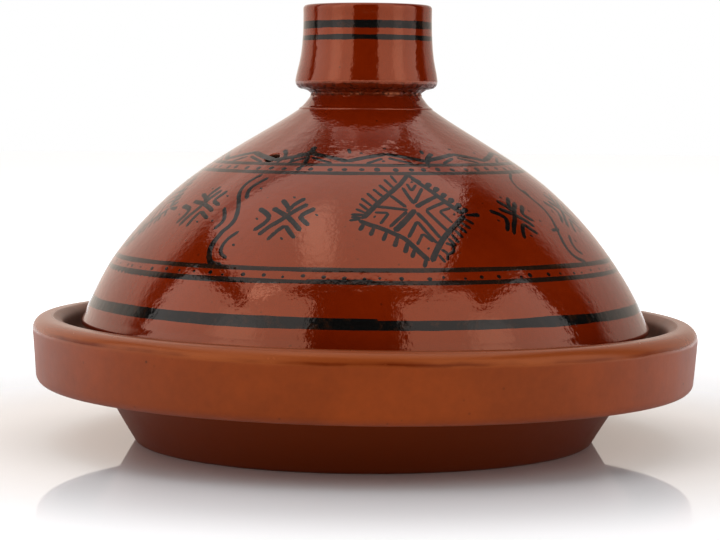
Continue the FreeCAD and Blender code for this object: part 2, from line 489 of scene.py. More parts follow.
def addMiddles(outline):
    # carries both ends of an outline in to the wheel's axis
    first, last = (Vector((0, 0, p.z)) for p in (outline[0], outline[-1]))
    return [first] + [p for p in outline if p.x > 1e-5] + [last]


def thrownDish():
    outline = addMiddles(cadOutline("base_dish"))
    rimRadius = max(p.x for p in outline)
    crestRadius = max(outline, key=lambda p: p.z).x

    def spacing(p):
        return dish["fine"] if p.x > dish["fineFrom"] * rimRadius else dish["coarse"]

    work = turnOnWheel(smoothLine(outline, spacing), dish["steps"])
    work.normal_update()
    # the line is a painted dark reflection along the rim, just above the glaze's edge
    glazed, inside, under, line = (
        work.verts.layers.float.new(name) for name in ("glazed", "inside", "under", "line"))
    for v in work.verts:
        radius = math.hypot(v.co.x, v.co.y)
        facingIn = v.normal.z > 0.05 or v.normal.x * v.co.x + v.normal.y * v.co.y < 0
        within = smoothStep(crestRadius - 0.0015, crestRadius - 0.004, radius) * facingIn
        drip = 0.0009 * noise.noise(v.co * 26) + 0.0004 * noise.noise(v.co * 90)
        over = smoothStep(dish["glazeLine"] - 0.0005, dish["glazeLine"] + 0.0005, v.co.z + drip)
        v[glazed] = max(over, within)
        apart = abs(v.co.z + drip - dish["glazeLine"] - dish["lineWidth"])
        v[line] = (1 - within) * smoothStep(dish["lineWidth"], 0.3 * dish["lineWidth"], apart)
        v[inside] = within * (1 - 0.4 * smoothStep(0.050, 0.054, v.co.z))
        # under marks the underside of the bowl, below the rim; its darker colour is painted shade
        v[under] = (v.co.z < 0.0275) * smoothStep(0.146, 0.1435, radius) * (1 - within)
        v.co = shapeByHand(v.co)
    finishPiece("thrownDish", work, rimClayMaterial, "dish", ["base_dish"])


thrownDish()

dome = {
    "steps": 300,
    "fine": 0.0011,
    "coarse": 0.0030,
    "skirt": 0.0030,          # how far the slope runs on behind the dish's rim before it turns in
    "skirtTurn": (0.0007, 0.0022),
    "ventAround": -38.0,
    "ventHeight": 0.1285,
    "ventRings": ((0.0036, 0.0), (0.0034, 0.0002), (0.0032, 0.0007), (0.0031, 0.0016)),  # radius, depth
    "ventBare": 0.00325,      # inside this radius the hole has no glaze
    "ventReach": 0.009,       # how far round the hole the wall is refined, and how deep
    "ventDeep": -0.014,
}
domeOutline = addMiddles(cadOutline("lid_cone"))
widest = max(range(len(domeOutline)), key=lambda i: domeOutline[i].x)
neckTop = max(p.z for p in domeOutline)
domeSide = [p for p in domeOutline[widest:] if p.z < neckTop - 0.003]


def lowerSkirt(outline):
    # carries the lid's slope on down and turns it in lower
    slope = (outline[widest] - outline[widest + 5]).normalized()
    turned = outline[widest] + slope * dome["skirt"]
    under = turned - Vector((dome["skirtTurn"][0], 0, dome["skirtTurn"][1]))
    inner = [p for p in outline[:widest] if p.z < under.z - 0.001 or p.x < 0.97 * outline[widest].x]
    return inner + [under, turned, outline[widest]], outline[widest:]


def skinAlong(side, startMm):
    # gives a function that puts (around, mm up the side, mm off it) on that turned surface
    line = smoothLine(side, 0.0002)
    marks = [startMm]
    for a, b in zip(line, line[1:]):
        marks.append(marks[-1] + (b - a).length * 1000)

    def spot(around, up, lift=0.0):
        i = min(max(bisect.bisect_left(marks, up), 1), len(line) - 1)
        part = (up - marks[i - 1]) / (marks[i] - marks[i - 1])
        along = (line[i] - line[i - 1]).normalized()
        here = line[i - 1].lerp(line[i], part) + Vector((along.z, 0, -along.x)) * lift / 1000
        turn = math.radians(around)
        return Vector((here.x * math.sin(turn), -here.x * math.cos(turn), here.z))

    return spot


onDome = skinAlong(domeSide, 0.1)


def drillVent(work):
    # opens the steam hole through the wall, square to the slope, with a soft glazed mouth
    out = direction(dome["ventAround"])
    i = min(range(len(domeSide) - 1), key=lambda k: abs(domeSide[k].z - dome["ventHeight"]))
    a, b = domeSide[i], domeSide[i + 1]
    mouthRadius = a.x + (b.x - a.x) * (dome["ventHeight"] - a.z) / (b.z - a.z)
    mouth = out * mouthRadius + Vector((0, 0, dome["ventHeight"]))
    slope = (b - a).normalized()
    axis = (out * slope.z + Vector((0, 0, -slope.x))).normalized()
    near = [e for e in work.edges if all(fromAxis(v.co, mouth, axis) < dome["ventReach"] for v in e.verts)]
    near = [e for e in near if (e.verts[0].co - mouth).dot(axis) > dome["ventDeep"]]
    bmesh.ops.subdivide_edges(work, edges=near, cuts=2, use_grid_fill=True)
    widestRing = dome["ventRings"][0][0]
    gone = [f for f in work.faces
            if fromAxis(f.calc_center_median(), mouth, axis) < widestRing
            and (f.calc_center_median() - mouth).dot(axis) > dome["ventDeep"]]
    bmesh.ops.delete(work, geom=gone, context="FACES")
    # bore marks the bare inside of the hole, which the glaze material colours near black as painted shade
    bore = work.verts.layers.float.new("bore")
    rims = []
    for loop in edgeLoops([e for e in work.edges if e.is_boundary]):
        inner = (loop[0].verts[0].co - mouth).dot(axis) < -0.003
        verts = {v for e in loop for v in e.verts}
        setRing(verts, mouth, axis, widestRing)
        for (_, lastDepth), (radius, depth) in zip(dome["ventRings"], dome["ventRings"][1:]):
            made = bmesh.ops.extrude_edge_only(work, edges=loop)["geom"]
            loop = [g for g in made if isinstance(g, bmesh.types.BMEdge)]
            verts = {g for g in made if isinstance(g, bmesh.types.BMVert)}
            deeper = (lastDepth - depth) * (-1 if inner else 1)
            bmesh.ops.translate(work, verts=list(verts), vec=axis * deeper)
            setRing(verts, mouth, axis, radius)
            for v in verts:
                v[bore] = float(radius < dome["ventBare"])
        rims.append(loop)
    bmesh.ops.bridge_loops(work, edges=rims[0] + rims[1])
    bmesh.ops.triangulate(work, faces=[f for f in work.faces if len(f.verts) > 4])
    bmesh.ops.recalc_face_normals(work, faces=work.faces[:])


def fromAxis(p, mouth, axis):
    away = p - mouth
    return (away - axis * away.dot(axis)).length


def setRing(verts, mouth, axis, radius):
    for v in verts:
        away = v.co - mouth
        deep = axis * away.dot(axis)
        v.co = mouth + deep + (away - deep).normalized() * radius


def edgeLoops(edges):
    # sorts boundary edges into the separate loops they form
    left = set(edges)
    loops = []
    while left:
        loop = [left.pop()]
        grown = True
        while grown:
            touching = {e for v in loop[-1].verts for e in v.link_edges if e in left}
            touching |= {e for v in loop[0].verts for e in v.link_edges if e in left}
            grown = bool(touching)
            left -= touching
            loop += touching
        loops.append(loop)
    return loops


def thrownDome():
    inner, outer = lowerSkirt(domeOutline)
    inward = smoothLine(inner, dome["coarse"] * 0.35)
    outward = smoothLine(outer, dome["fine"])
    work = turnOnWheel(inward + outward[1:], dome["steps"])
    drillVent(work)
    for v in work.verts:
        v.co = shapeByHand(v.co)
    finishPiece("thrownDome", work, glossGlazeMaterial, "lid", ["lid_cone"])


thrownDome()

seam = {
    "steps": 260,
    "spacing": 0.00035,
    "lumps": 0.00040,
    "pits": 0.0005,
    "outline": (                 # mm: a thin fillet smeared up under the grip and down on to the dome
        (18, 154.6), (18, 157.7), (27, 158.5), (25.9, 157.6), (24.9, 156.8),
        (25.0, 155.9), (25.6, 154.7), (26.5, 153.5), (27.5, 152.2), (28.6, 151.0),
        (30.2, 149.3), (28, 149.6), (26, 151.8)),
}


def lutingSeam():
    # the coil of soft clay pressed into the joint under the grip, left rough and pitted
    ring = [Vector((radius, 0, height)) / 1000 for radius, height in seam["outline"]]
    work = turnOnWheel(smoothLine(ring + [ring[0]], seam["spacing"]), seam["steps"])
    for v in work.verts:
        radius = math.hypot(v.co.x, v.co.y)
        outer = smoothStep(0.0215, 0.0245, radius) * (0.15 + 0.85 * smoothStep(0.1546, 0.1560, v.co.z))
        lump = seam["lumps"] * (noise.noise(v.co * 260) + 0.6 * noise.noise(v.co * 700))
        pit = seam["pits"] * smoothStep(0.15, 0.5, noise.noise(v.co * 330 + Vector((4, 1, 7))))
        flat = Vector((v.co.x, v.co.y, 0)).normalized()
        v.co = shapeByHand(v.co + flat * (lump - pit) * outer)
    for f in work.faces:
        f.material_index = int(f.calc_center_median().z > seamLook["paintedHighlightFrom"])
    piece = finishPiece("lutingSeam", work, glossGlazeMaterial, "lid", ["luting_coil"])
    piece.data.materials.append(seamClayMaterial)


grip = {"steps": 260, "fine": 0.0005, "fineFrom": 0.0225, "coarse": 0.0013, "rough": 0.00045,
        "tooledUp": (0.1622, 0.1604), "tooledOut": (0.020, 0.0245)}
gripOutline = addMiddles(cadOutline("lid_knob"))
flange = max(range(len(gripOutline)), key=lambda i: gripOutline[i].x)
gripTop = max(p.z for p in gripOutline)
gripSide = [p for i, p in enumerate(gripOutline) if i >= flange and p.x > 0.0285 and p.z < gripTop - 0.0012]
onGrip = skinAlong(gripSide, gripSide[0].z * 1000)


def hollowGrip():
    def spacing(p):
        return grip["fine"] if p.x > grip["fineFrom"] else grip["coarse"]

    work = turnOnWheel(smoothLine(gripOutline, spacing), grip["steps"])
    tooled = work.verts.layers.float.new("tooled")
    for v in work.verts:
        radius = math.hypot(v.co.x, v.co.y)
        v[tooled] = smoothStep(*grip["tooledUp"], v.co.z) * smoothStep(*grip["tooledOut"], radius)
        gouges = noise.noise(v.co * 170) + 0.6 * noise.noise(v.co * 420) + 0.3 * noise.noise(v.co * 900)
        v.co = shapeByHand(v.co + Vector((0, 0, grip["rough"] * gouges * v[tooled])))
    for f in work.faces:
        f.material_index = int(sum(v[tooled] for v in f.verts) > 0.75 * len(f.verts))
    piece = finishPiece("hollowGrip", work, glossGlazeMaterial, "lid", ["lid_knob"])
    piece.data.materials.append(seamClayMaterial)


lutingSeam()
hollowGrip()

brush = {
    "fullness": 1.22,       # how far the slip spreads past the brush
    "lift": 0.014,          # mm off the glaze along a stroke's middle, and at its edge
    "edge": 0.004,
    "thickness": 0.00014,
    "sharp": 0.6,           # edges that turn more than this, in radians, stay crisp
    "waver": 0.12,
    "ragged": 0.10,
}
hand = random.Random(7)


def slipLift(across):
    # how far the slip stands off the glaze, in mm, from -0.5 to 0.5 across the stroke
    crown = 1 - (across * 2) ** 4
    return brush["edge"] + (brush["lift"] - brush["edge"]) * crown


def brushStroke(work, skin, points, width, widthEnd=None):
    # one stroke of slip through points of (degrees around, mm up), round where it starts and ends
    widthEnd = width if widthEnd is None else widthEnd
    upMiddle = sum(up for _, up in points) / len(points)
    aroundMm = (skin(0.5, upMiddle) - skin(-0.5, upMiddle)).length * 1000
    path = smoothLine([Vector((around * aroundMm, up, 0)) for around, up in points], 0.25)
    length = 0.25 * len(path)
    pieces = max(6, round(length / 0.9))
    ease = min(0.65, 4 / length)
    flat = bmesh.ops.create_grid(work, x_segments=pieces, y_segments=4, size=0.5)["verts"]
    shift = hand.uniform(0, 90)
    for v in flat:
        t = (1 - ease) * (v.co.x + 0.5) + ease * (0.5 - 0.5 * math.cos(math.pi * (v.co.x + 0.5)))
        at = t * (len(path) - 1)
        i = min(int(at), len(path) - 2)
        here = path[i].lerp(path[i + 1], at - i)
        ahead = (path[min(i + 2, len(path) - 1)] - path[max(i - 1, 0)]).normalized()
        half = 0.5 * brush["fullness"] * (width + (widthEnd - width) * t)
        fromEnd = min(t, 1 - t) * length
        roundness = math.sqrt(max(1 - max(1 - fromEnd / max(half, 0.2), 0) ** 2, 0.0004))
        waver = 1 + brush["waver"] * noise.noise(Vector((at * 0.12, shift, 0)))
        side = 1 if v.co.y > 0 else -1
        ragged = 1 + brush["ragged"] * noise.noise(Vector((at * 0.4, shift, 5.0 * side)))
        across = v.co.y * 2 * half * roundness * waver * ragged
        spot = here + Vector((-ahead.y, ahead.x, 0)) * across
        v.co = skin(spot.x / aroundMm, spot.y, slipLift(v.co.y))


def brushDot(work, skin, around, up, size):
    # a touch of the brush tip, never quite round
    aroundMm = (skin(0.5, up) - skin(-0.5, up)).length * 1000
    lean = hand.uniform(-0.3, 0.3)
    reach = 0.5 * size * hand.uniform(0.9, 1.25)
    run = reach * lean / aroundMm
    brushStroke(work, skin, [(around - run, up - reach), (around + run, up + reach)], size)


def brushRing(work, skin, up, width, drift=(0, 0, 1), arc=(-180, 180)):
    # a line drawn as the wheel turns, all the way round or along an arc of it
    # drift is (mm up and down, where it is highest, how many times in a turn)
    sweep = arc[1] - arc[0]
    flat = bmesh.ops.create_grid(work, x_segments=round(sweep * 1.6), y_segments=4, size=0.5)["verts"]
    for v in flat:
        around = arc[0] + (v.co.x + 0.5) * sweep
        turn = math.radians(around)
        loop = Vector((math.cos(turn), math.sin(turn), up * 0.37))
        wide = width * (1 + 0.16 * noise.noise(loop * 4) + 0.07 * noise.noise(loop * 17))
        if sweep < 360:
            fromEnd = min(around - arc[0], arc[1] - around)
            wide *= math.sqrt(max(1 - max(1 - fromEnd / 0.9, 0) ** 2, 0.001))
        side = 1 if v.co.y > 0 else -1
        edge = 0.06 * noise.noise(loop * 26 + Vector((0, 0, 9.0 * side)))
        wander = 0.10 * noise.noise(loop * 1.7) + 0.08 * noise.noise(loop * 6)
        wander += drift[0] * math.cos(math.radians((around - drift[1]) * drift[2]))
        across = v.co.y * wide + edge * abs(v.co.y * 2)
        v.co = skin(around, up + wander + across, slipLift(v.co.y))
    return flat


def driedSlip(name, work):
    bmesh.ops.remove_doubles(work, verts=work.verts[:], dist=1e-7)
    bmesh.ops.recalc_face_normals(work, faces=work.faces[:])
    bmesh.ops.solidify(work, geom=work.faces[:], thickness=brush["thickness"])
    bmesh.ops.recalc_face_normals(work, faces=work.faces[:])
    for e in work.edges:
        e.smooth = e.calc_face_angle(0) < brush["sharp"]
    for v in work.verts:
        v.co = shapeByHand(v.co)
    finishPiece(name, work, blackSlipMaterial, "lid")


rings = {
    # up, width, drift, arc
    "onDome": (
        (8.1, 4.3), (8.7, 4.8, (0, 0, 1), (-172, 3)),               # the black band, started on the right
        (26.7, 2.0, (0.3, 25, 1)), (32.5, 2.2, (0.45, 20, 2)),
        (87.2, 2.3), (93.2, 2.2)),
    "thin": (0, 0, 0.25, 0.35, 0.45, 0.5),     # how far the glaze shows through each
    "secondPass": (
        1.6, 1.3, [(-78, 25.9), (-62, 25.8), (-50, 25.8), (-40, 26), (-30, 26.1), (-20, 26.5), (-11, 27)]),
    "wetStart": (1.6, 1.7, [(-12, 27.1), (-7, 27.3), (-3, 27.4), (2.4, 27.4)]),
    "onGrip": ((187.2, 3.4), (181.5, 2.3)),
}


def paintedRings():
    work = bmesh.new()
    thin = work.verts.layers.float.new("thin")
    for ring, thinness in zip(rings["onDome"], rings["thin"]):
        for v in brushRing(work, onDome, *ring):
            v[thin] = thinness
    for stroke in (rings["secondPass"], rings["wetStart"]):
        brushStroke(work, onDome, stroke[2], stroke[0], stroke[1])
    driedSlip("paintedRings", work)


def gripRings():
    work = bmesh.new()
    for ring in rings["onGrip"]:
        brushRing(work, onGrip, *ring)
    driedSlip("gripRings", work)


dots = {"lowerCount": 84, "lowerUp": 29.2, "lowerSize": 1.7,
        "upperCount": 64, "upperFrom": 88.8, "upperTo": 91.2}


def paintedDots():
    work = bmesh.new()
    for i in range(dots["lowerCount"]):
        around = 360 * (i + hand.uniform(-0.22, 0.22)) / dots["lowerCount"]
        brushDot(work, onDome, around, dots["lowerUp"] + hand.uniform(-0.5, 0.5),
                 dots["lowerSize"] * hand.uniform(0.6, 1.25))
    for i in range(dots["upperCount"]):
        around = -1 + 360 * (i + hand.uniform(-0.14, 0.14)) / dots["upperCount"]
        lean = hand.uniform(-0.8, 0.8)
        low = dots["upperFrom"] + hand.uniform(-0.4, 0.3)
        high = dots["upperTo"] + hand.uniform(-0.5, 0.4)
        brushStroke(work, onDome, [(around - lean / 2, low), (around + lean / 2, high)], 2.2, 2.0)
    driedSlip("paintedDots", work)


degreeMm = 1.65     # how wide a degree is, half way up the painted panels


def paintMotif(work, skin, strokes, around=0.0, up=0.0, turn=0.0, wide=1.0, tall=1.0, jitter=0.0):
    # strokes are (width, widthEnd, points, more points); the motif may be moved, turned and stretched
    c, s = math.cos(math.radians(turn)), math.sin(math.radians(turn))
    for width, widthEnd, points in ((w, end, path) for w, end, *paths in strokes for path in paths):
        nudge = (hand.uniform(-jitter, jitter), hand.uniform(-jitter, jitter))
        placed = []
        for x, y in points:
            mmX, mmY = x * wide * degreeMm, y * tall
            placed.append((around + (mmX * c - mmY * s) / degreeMm + nudge[0] * 0.5,
                           up + mmX * s + mmY * c + nudge[1]))
        fat = 1 + hand.uniform(-0.5, 0.5) * jitter * 0.3
        brushStroke(work, skin, placed, width * fat, widthEnd * fat)


rugStrokes = [
    # frame of the lozenge
    (2.0, 1.9, [(-0.5, 58.9), (1.7, 63.5), (4.1, 68.4), (7.6, 74.3), (11.2, 80), (14.6, 86.5)]),
    (1.9, 2.0, [(15.3, 84.2), (18.3, 78.9), (20.5, 74.6), (22.6, 70), (24.9, 65.2), (27, 61.3)]),
    (1.6, 1.4, [(14.2, 86.7), (16, 83.8), (18.2, 81.1)]),
    (2.0, 2.1, [(27, 61), (23.4, 55.8), (20.4, 51.2), (18, 46.3), (16.2, 41.3), (14.9, 36.7)]),
    (1.9, 1.9, [(-1.3, 58.3), (1.6, 55.9), (4.4, 54), (7, 51.5), (9.6, 48.7), (11.2, 45.1), (12.8, 41.1),
     (14.5, 37.3)]),
    (1.3, 1.2, [(-3.3, 61.5), (0.4, 61.4)]),
    (1.2, 1.1, [(-3.6, 58.2), (-0.6, 59.1)], [(-3.2, 60.1), (-0.4, 59.7)]),
    # cross
    (2.1, 2.3, [(13.8, 64.6), (10.6, 58.4), (7.4, 52.4)]),
    (1.9, 1.6, [(14, 65.8), (17.5, 69.3), (21.7, 72.7)]),
    (1.5, 1.4, [(11.6, 78.1), (12.7, 72.6), (13.9, 67.5)], [(7.5, 73), (9.6, 69.3), (11.5, 65.6)]),
    (1.6, 1.4, [(13.9, 63), (16.1, 56.6), (18.4, 48.4)]),
    # nested chevrons and a dot, left, top, right and bottom
    (1.4, 1.3, [(3.3, 66.3), (7.5, 65.3), (11.8, 64.2)], [(11.4, 63.4), (8.7, 58.9), (6.3, 54.5)]),
    (1.2, 1.1, [(2.8, 62.8), (6.5, 62.6)], [(6.5, 62.4), (4.1, 56.3)]),
    (1.3, 1.3, [(2.6, 60.7), (3.1, 60.1)]),
    (1.4, 1.3, [(13.8, 67.9), (15.7, 72.6), (17.8, 77.6)]),
    (1.2, 1.1, [(13.3, 80.5), (14.1, 75.5)], [(14.1, 75.5), (16.2, 79.8)]),
    (1.3, 1.3, [(14.9, 81.8), (15.3, 80.9)]),
    (1.4, 1.3, [(23, 68.8), (19.4, 66.3), (16.6, 64)], [(16.6, 64), (18.8, 57.7), (21, 51.6)]),
    (1.2, 1.1, [(23.9, 65.3), (20.3, 63.4)], [(20.3, 63.4), (22.8, 56.7)]),
    (1.3, 1.3, [(23.9, 61.9), (24.4, 61.2)]),
    (1.4, 1.3, [(10.5, 48.9), (12, 53.5), (13.5, 58)], [(13.5, 58), (15.1, 52.4), (17.2, 46)]),
    (1.2, 1.1, [(12.3, 45.4), (14.2, 51.3)], [(14.2, 51.3), (16.3, 46.7)]),
    (1.3, 1.3, [(14.6, 43.9), (15, 43.2)]),
    # fringe, top left
    (1.2, 1.1, [(8.7, 86), (10.3, 80.7)], [(6.4, 83.3), (8.8, 77.6)], [(4.6, 79.7), (7.2, 74.6)],
     [(2.7, 76.9), (5.4, 72.1)], [(0.9, 74.4), (3.7, 68.9)], [(-0.7, 71.2), (2.3, 66.2)], [(-1.2, 68),
     (1.3, 63.9)]),
    (1.1, 1.0, [(-2.1, 64.8), (0.5, 62.5)]),
    # fat drops, top right
    (2.7, 1.6, [(21, 80.8), (19.1, 77.8)], [(22.9, 78), (20.9, 74.8)], [(24.4, 74.1), (22.5, 71.3)],
     [(26, 71), (23.9, 68)]),
    (2.6, 1.6, [(27.5, 67.7), (25.4, 65.2)]),
    (2.5, 1.6, [(28.8, 64.9), (26.7, 62.4)]),
    (1.2, 2.2, [(27.2, 61.1), (31.7, 61)]),
    # comb and curls, bottom right
    (1.2, 1.5, [(26.5, 59.1), (28.6, 55.9)], [(25.1, 57.1), (27.1, 53.4)], [(23.8, 55.3), (25.6, 51.2)],
     [(22.6, 53.1), (24.1, 48.7)], [(21.3, 51.1), (22.6, 46)]),
    (1.2, 1.4, [(20.2, 48.9), (21.6, 44.4)]),
    (1.3, 1.1, [(19.1, 46.3), (20.7, 44.8), (20.6, 42.1), (19.1, 40.5)], [(17.7, 43.2), (18.9, 40.8),
     (18.5, 37.4)], [(16.8, 40.5), (18, 36.4)]),
    # knobbed fringe, bottom left
    (1.2, 1.8, [(0.1, 56.7), (-0.9, 52.6)]),
    (1.2, 1.9, [(2.6, 54.6), (1.6, 50)], [(5.6, 52.5), (4.5, 47.3)], [(8.1, 50), (7, 44.2)],
     [(10.3, 47.1), (9.2, 41.2)]),
    (1.2, 1.8, [(11.7, 43.7), (10.6, 38.8)]),
    (1.5, 1.5, [(13.8, 38.3), (13, 34.1)]),
]

starStrokes = [
    (2.1, 1.8, [(-8.7, 4.6), (-4.7, 0), (-5, -3.5), (-7.3, -8.1)]),
    (2.0, 1.8, [(-4.7, 5), (-1.3, 1.9), (0, 0.6), (0.3, 0.4), (3, -3.8), (5, -7.7)], [(5, 7.7), (2, 3.8),
     (0.7, 1.5), (-1.3, -2.3), (-3.3, -5.4), (-5.5, -10.4)]),
    (1.9, 1.6, [(-3, 10), (-0.3, 5.4), (0.2, 2.5)], [(3.7, 11.2), (1, 6.9), (0.3, 3.8)]),
    (2.0, 1.7, [(7.3, 5.4), (4.3, 1.5), (4, 0), (6.7, -4.6)]),
    (1.9, 1.6, [(0.7, -4.6), (-1.3, -8.5), (-2.7, -13)]),
    (1.8, 1.6, [(0.7, -4.6), (2.3, -8.1), (4, -11.5)]),
    (1.7, 1.7, [(0.1, 11.1), (0.5, 11.9)], [(-8, -1.9), (-7.6, -1.1)], [(7.8, 1.1), (8.2, 1.9)],
     [(0.6, -12.1), (1, -11.3)]),
]

vineStrokes = [
    (1.7, 2.1, [(-35.3, 85.7), (-37.3, 82.6), (-38.7, 79.2), (-39, 75.3), (-38.3, 71.8), (-37, 68.4),
     (-35.7, 65), (-34.7, 61), (-34.2, 57.2), (-34.7, 53.4), (-35.7, 50.7), (-36.3, 47.2), (-36.7, 43.8),
     (-36.5, 40), (-35.7, 36.5), (-34.3, 33.8), (-31.3, 33)]),
    (1.6, 1.7, [(-32, 83.4), (-34, 80.3), (-35.7, 76.5), (-35.7, 73.4), (-35, 70.7), (-34.3, 69.2)]),
    (1.6, 1.6, [(-40.3, 63.8), (-38.7, 60.3), (-37.7, 57.2), (-37.7, 55), (-39, 51)]),
    (1.6, 1.4, [(-31, 51), (-33, 46.8), (-33.7, 42.6), (-33.2, 39.2), (-31, 36.5)]),
    (1.6, 1.6, [(-32.2, 75.5), (-31.8, 76.5)], [(-31, 43.1), (-30.6, 44.1)]),
    (1.4, 1.4, [(-41.4, 55.4), (-41, 56.4)]),
]

leafyVineStrokes = [
    (1.3, 1.6, [(61, 86), (58, 84), (56, 81), (55.3, 77), (56, 73.5), (57.5, 68), (58.5, 63), (58.3, 58),
     (57, 52), (56, 48), (55.3, 44), (55.3, 40), (56.5, 36.5), (60, 33.5)]),
    (2.6, 1.8, [(56, 75), (57.3, 71)]),
    (1.3, 1.3, [(54, 51), (58, 51.5)]),
    (1.6, 1.4, [(61, 48), (59.3, 44), (59.3, 40), (61, 37.5)]),
    (1.5, 1.5, [(61.8, 44), (62.2, 45)], [(51.8, 56), (52.2, 57)]),
]

panels = {
    # strokes, and where they go: around, up, turn, wide, tall, jitter
    "paintedRugs": [(rugStrokes, (around, 0.0, 0.0, 1.0, 1.0, jitter))
                    for around, jitter in ((0, 0.0), (-92.5, 0.35), (90, 0.5), (180, 0.5))],
    "paintedVines": [(vineStrokes, (around, 0.0, 0.0, 1.0, 1.0, jitter))
                     for around, jitter in ((0, 0.0), (-86, 0.4), (184, 0.5))] + [(leafyVineStrokes, ())],
    "paintedStars": [(starStrokes, placing) for placing in (
        (-20, 59.5, 0, 1, 1, 0), (43.4, 60, 4, 0.88, 0.95, 0.2), (-49.5, 64.5, 22, 1, 0.95, 0.3),
        (70, 61, -8, 0.95, 1, 0.3), (-108, 60.5, 12, 1, 1, 0.4), (134, 61, -5, 1, 1, 0.4),
        (160, 60, 15, 0.95, 1, 0.4), (-138, 62, -12, 1, 0.95, 0.4))],
}


def paintPanel(name):
    work = bmesh.new()
    for strokes, placing in panels[name]:
        paintMotif(work, onDome, strokes, *placing)
    driedSlip(name, work)


mountains = {
    "periods": 12,
    "peakAt": 8.8,          # degrees round to one peak
    "peakUp": 101.7,
    "valleyUp": 95.8,
    "width": 2.2,
    "innerWidth": 1.35,
    "innerFoot": 94.3,
    "innerTop": 98.6,
    "dotUp": 102.5,
}

mountainExtras = [
    # a dropped brush and its smears left of the front, and the ticks between the peaks
    (2.7, 2.4, [(-24.2, 103), (-19.5, 102)]),
    (2.2, 2.4, [(-22.4, 107.4), (-22, 103)]),
    (2.6, 2.4, [(-28, 100.2), (-21, 101.2)]),
    (2.2, 1.6, [(-22.5, 100), (-22, 95), (-22.5, 90.5)]),
    (1.6, 1.2, [(-28.5, 99), (-28, 95.3)]),
    (1.8, 1.2, [(-36, 104.3), (-33.3, 101.2), (-32.5, 97.5), (-34, 94)]),
    (2.0, 1.6, [(29, 102), (26.6, 99.8), (24.8, 97), (23.6, 91.2)]),
    (1.3, 1.3, [(-6.8, 105.8), (-5.6, 101.8)]),
    (1.5, 1.5, [(-1.6, 101.8), (-0.9, 102.7)]),
    (1.4, 1.2, [(24.7, 104.6), (24.4, 101.4)]),
    (1.5, 1.5, [(39.9, 104.6), (40.1, 106)]),
    (1.4, 1.4, [(8.6, 105.4), (8.8, 106.5)]),
    (1.3, 1.3, [(52.8, 101.6), (53.2, 102.6)]),
]


def paintedMountains():
    work = bmesh.new()
    period = 360 / mountains["periods"]
    width = mountains["width"]
    inner = mountains["innerWidth"]
    for i in range(mountains["periods"]):
        peak = mountains["peakAt"] + i * period
        loose = 0.4 if i % 11 else 0.15
        peakUp = mountains["peakUp"] + hand.uniform(-loose, loose)
        low = [mountains["valleyUp"] + hand.uniform(-loose, loose) for _ in range(2)]
        half = period / 2
        for way, foot in zip((-1, 1), low):
            mid = (peak + way * half * 0.52, (peakUp + foot) / 2 + hand.uniform(-0.3, 0.4))
            brushStroke(work, onDome, [(peak + way * half * 1.03, foot), mid, (peak - way * 0.4, peakUp)],
                        width * hand.uniform(0.88, 1.08), width * 0.95)
        top = mountains["innerTop"] + hand.uniform(-loose, loose)
        foot = mountains["innerFoot"]
        brushStroke(work, onDome, [(peak - hand.uniform(7.2, 8.2), foot), (peak - 1.6, top - 0.3)], inner)
        rightFoot = (peak + hand.uniform(9.3, 10.5), foot)
        brushStroke(work, onDome, [(peak + 0.3, top), rightFoot], inner, inner * 0.9)
        inFront = abs((peak + 180) % 360 - 180) < 60
        if not inFront:
            brushDot(work, onDome, peak + hand.uniform(-0.6, 0.6), 95.8, 1.4)
            between = peak + half + hand.uniform(-1, 1)
            brushDot(work, onDome, between, mountains["dotUp"] + hand.uniform(-0.6, 1), 1.4)
    brushDot(work, onDome, mountains["peakAt"] - 1.5, 96.2, 1.4)
    paintMotif(work, onDome, mountainExtras)
    driedSlip("paintedMountains", work)


paintedRings()
gripRings()
paintedDots()
paintedMountains()
for panelName in panels:
    paintPanel(panelName)

studio = {
    "floorSize": 14.0,
    "boxes": {
        "leftInner": {"around": (-60, -25), "up": (0, 52), "glow": 1.7},
        "leftOuter": {"around": (-100, -60), "up": (0, 42), "glow": 1.7},
        "rightInner": {"around": (19, 60), "up": (0, 52.5), "glow": 1.6},
        "rightOuter": {"around": (60, 94), "up": (0, 44.5), "glow": 1.6},
        "leftLamp": {"around": (-68, -42), "up": (0, 44), "away": 1.25, "glow": 0.75, "soft": 0.9},
        "rightLamp": {"around": (44, 68), "up": (0, 44), "away": 1.25, "glow": 0.75, "soft": 0.9},
    },
    "ceilings": {
        "ceiling": {"x": (-1.5, 0.9), "y": (-0.95, 0.78), "height": 1.8, "glow": 1.5},
        "ceilingBackRight": {"x": (0.5, 0.9), "y": (0.78, 1.6), "height": 1.8, "glow": 0.6},
        "ceilingBackLeft": {"x": (-1.5, -0.5), "y": (0.78, 1.8), "height": 1.8, "glow": 0.4},
        "ceilingLamp": {"x": (-0.64, -0.20), "y": (-0.84, 0.16), "height": 1.78, "glow": 1.3, "soft": 1.0},
    },
    "dimLow": (0.0, 0.50, 0.68, 1.0),  # the boxes are dimmer near the floor: from, to, and how bright
    "room": 0.008,
    "backWall": 0.95,
    "backWallTurn": (-0.25, 0.15),    # how far round the bright wall reaches on the left and right
    "backWallTop": (0.86, 0.60),
    "backWallRight": 0.65,
    "backWallColour": (1.08, 0.95, 0.84, 1),
}


def softbox(name, around, up, glow, away=1.6, soft=0.0):
    # an upright soft light whose two sides stand at the given directions from the pot
    left, right = (direction(a) * away for a in around)
    low, high = (math.tan(math.radians(u)) * away for u in up)
    middle = (left + right) / 2 + Vector((0, 0, (low + high) / 2))
    across = (right - left).normalized()
    facing = across.cross(Vector((0, 0, 1)))
    if facing.dot(middle) < 0:
        facing.negate()
    areaLight(name, middle, facing, (right - left).length, high - low, glow, soft)


